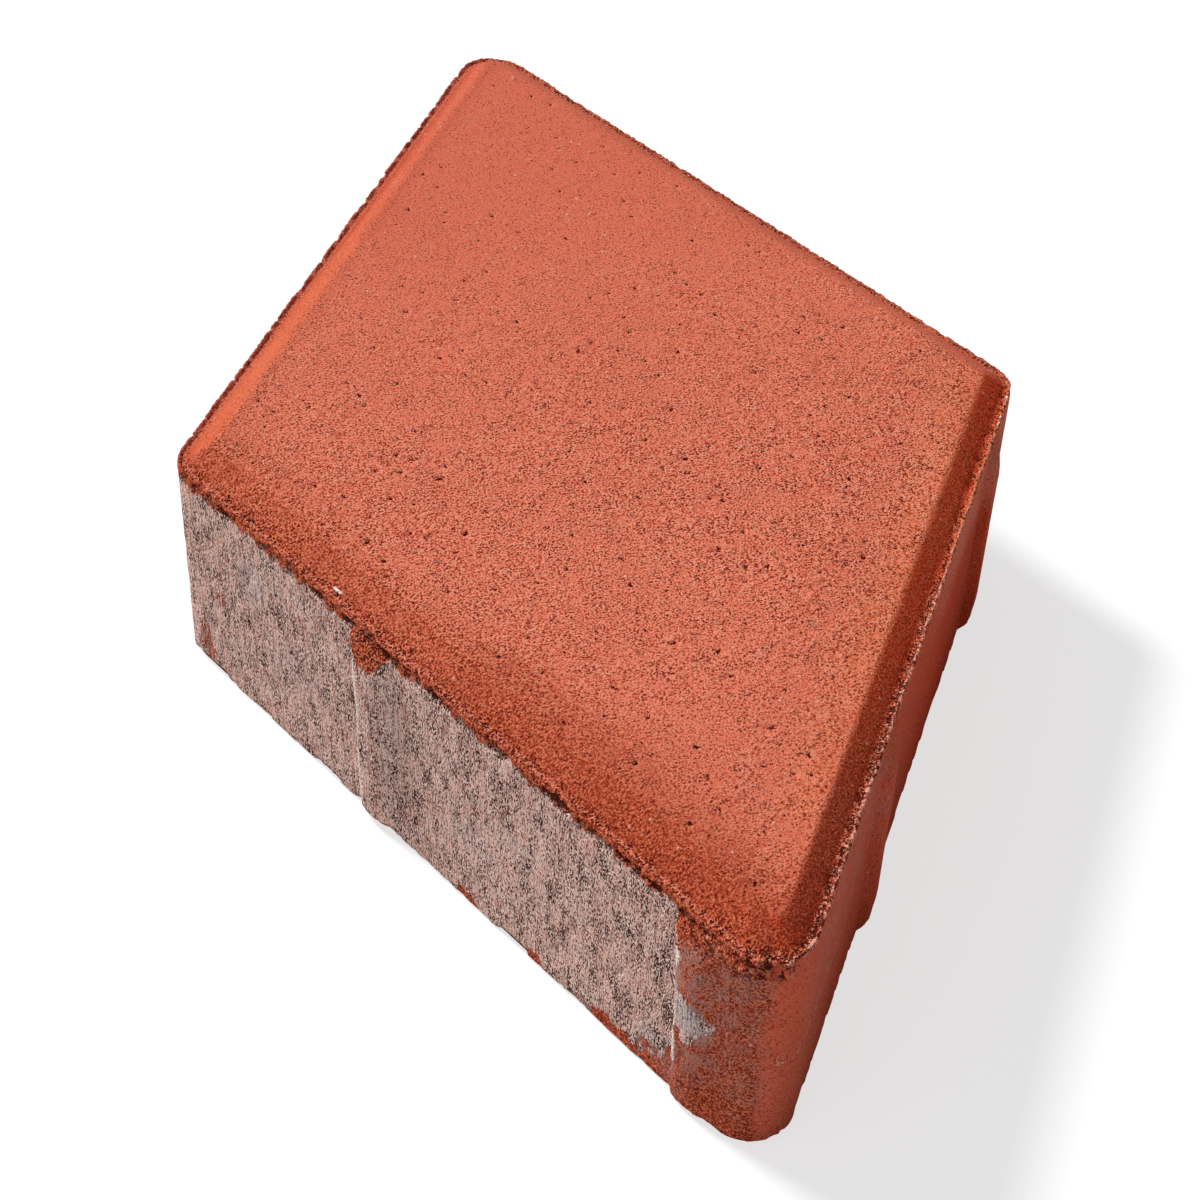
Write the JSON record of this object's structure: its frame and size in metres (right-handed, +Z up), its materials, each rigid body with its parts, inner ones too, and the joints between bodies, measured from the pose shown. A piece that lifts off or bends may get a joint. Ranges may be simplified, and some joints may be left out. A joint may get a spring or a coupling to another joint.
{
  "type": "concrete paving stone",
  "caption": "Rhombus-shaped red concrete paving stone with a chamfered, lipped top edge and moulded spacer ribs on its walls.",
  "frame": {"origin": "middle of the underside, on the surface that the stone lies on", "axes": "+Z up to the walked-on face, +Y along the long diagonal, +X along the short diagonal"},
  "size_m": [0.1936, 0.3216, 0.06],
  "materials": {
    "red_concrete": "dry-pressed concrete with red iron oxide, sandy and matt, with a greyish-pink cement film on its walls"
  },
  "bodies": {
    "root": {"paving_stone": "red_concrete"}
  },
  "joints": []
}
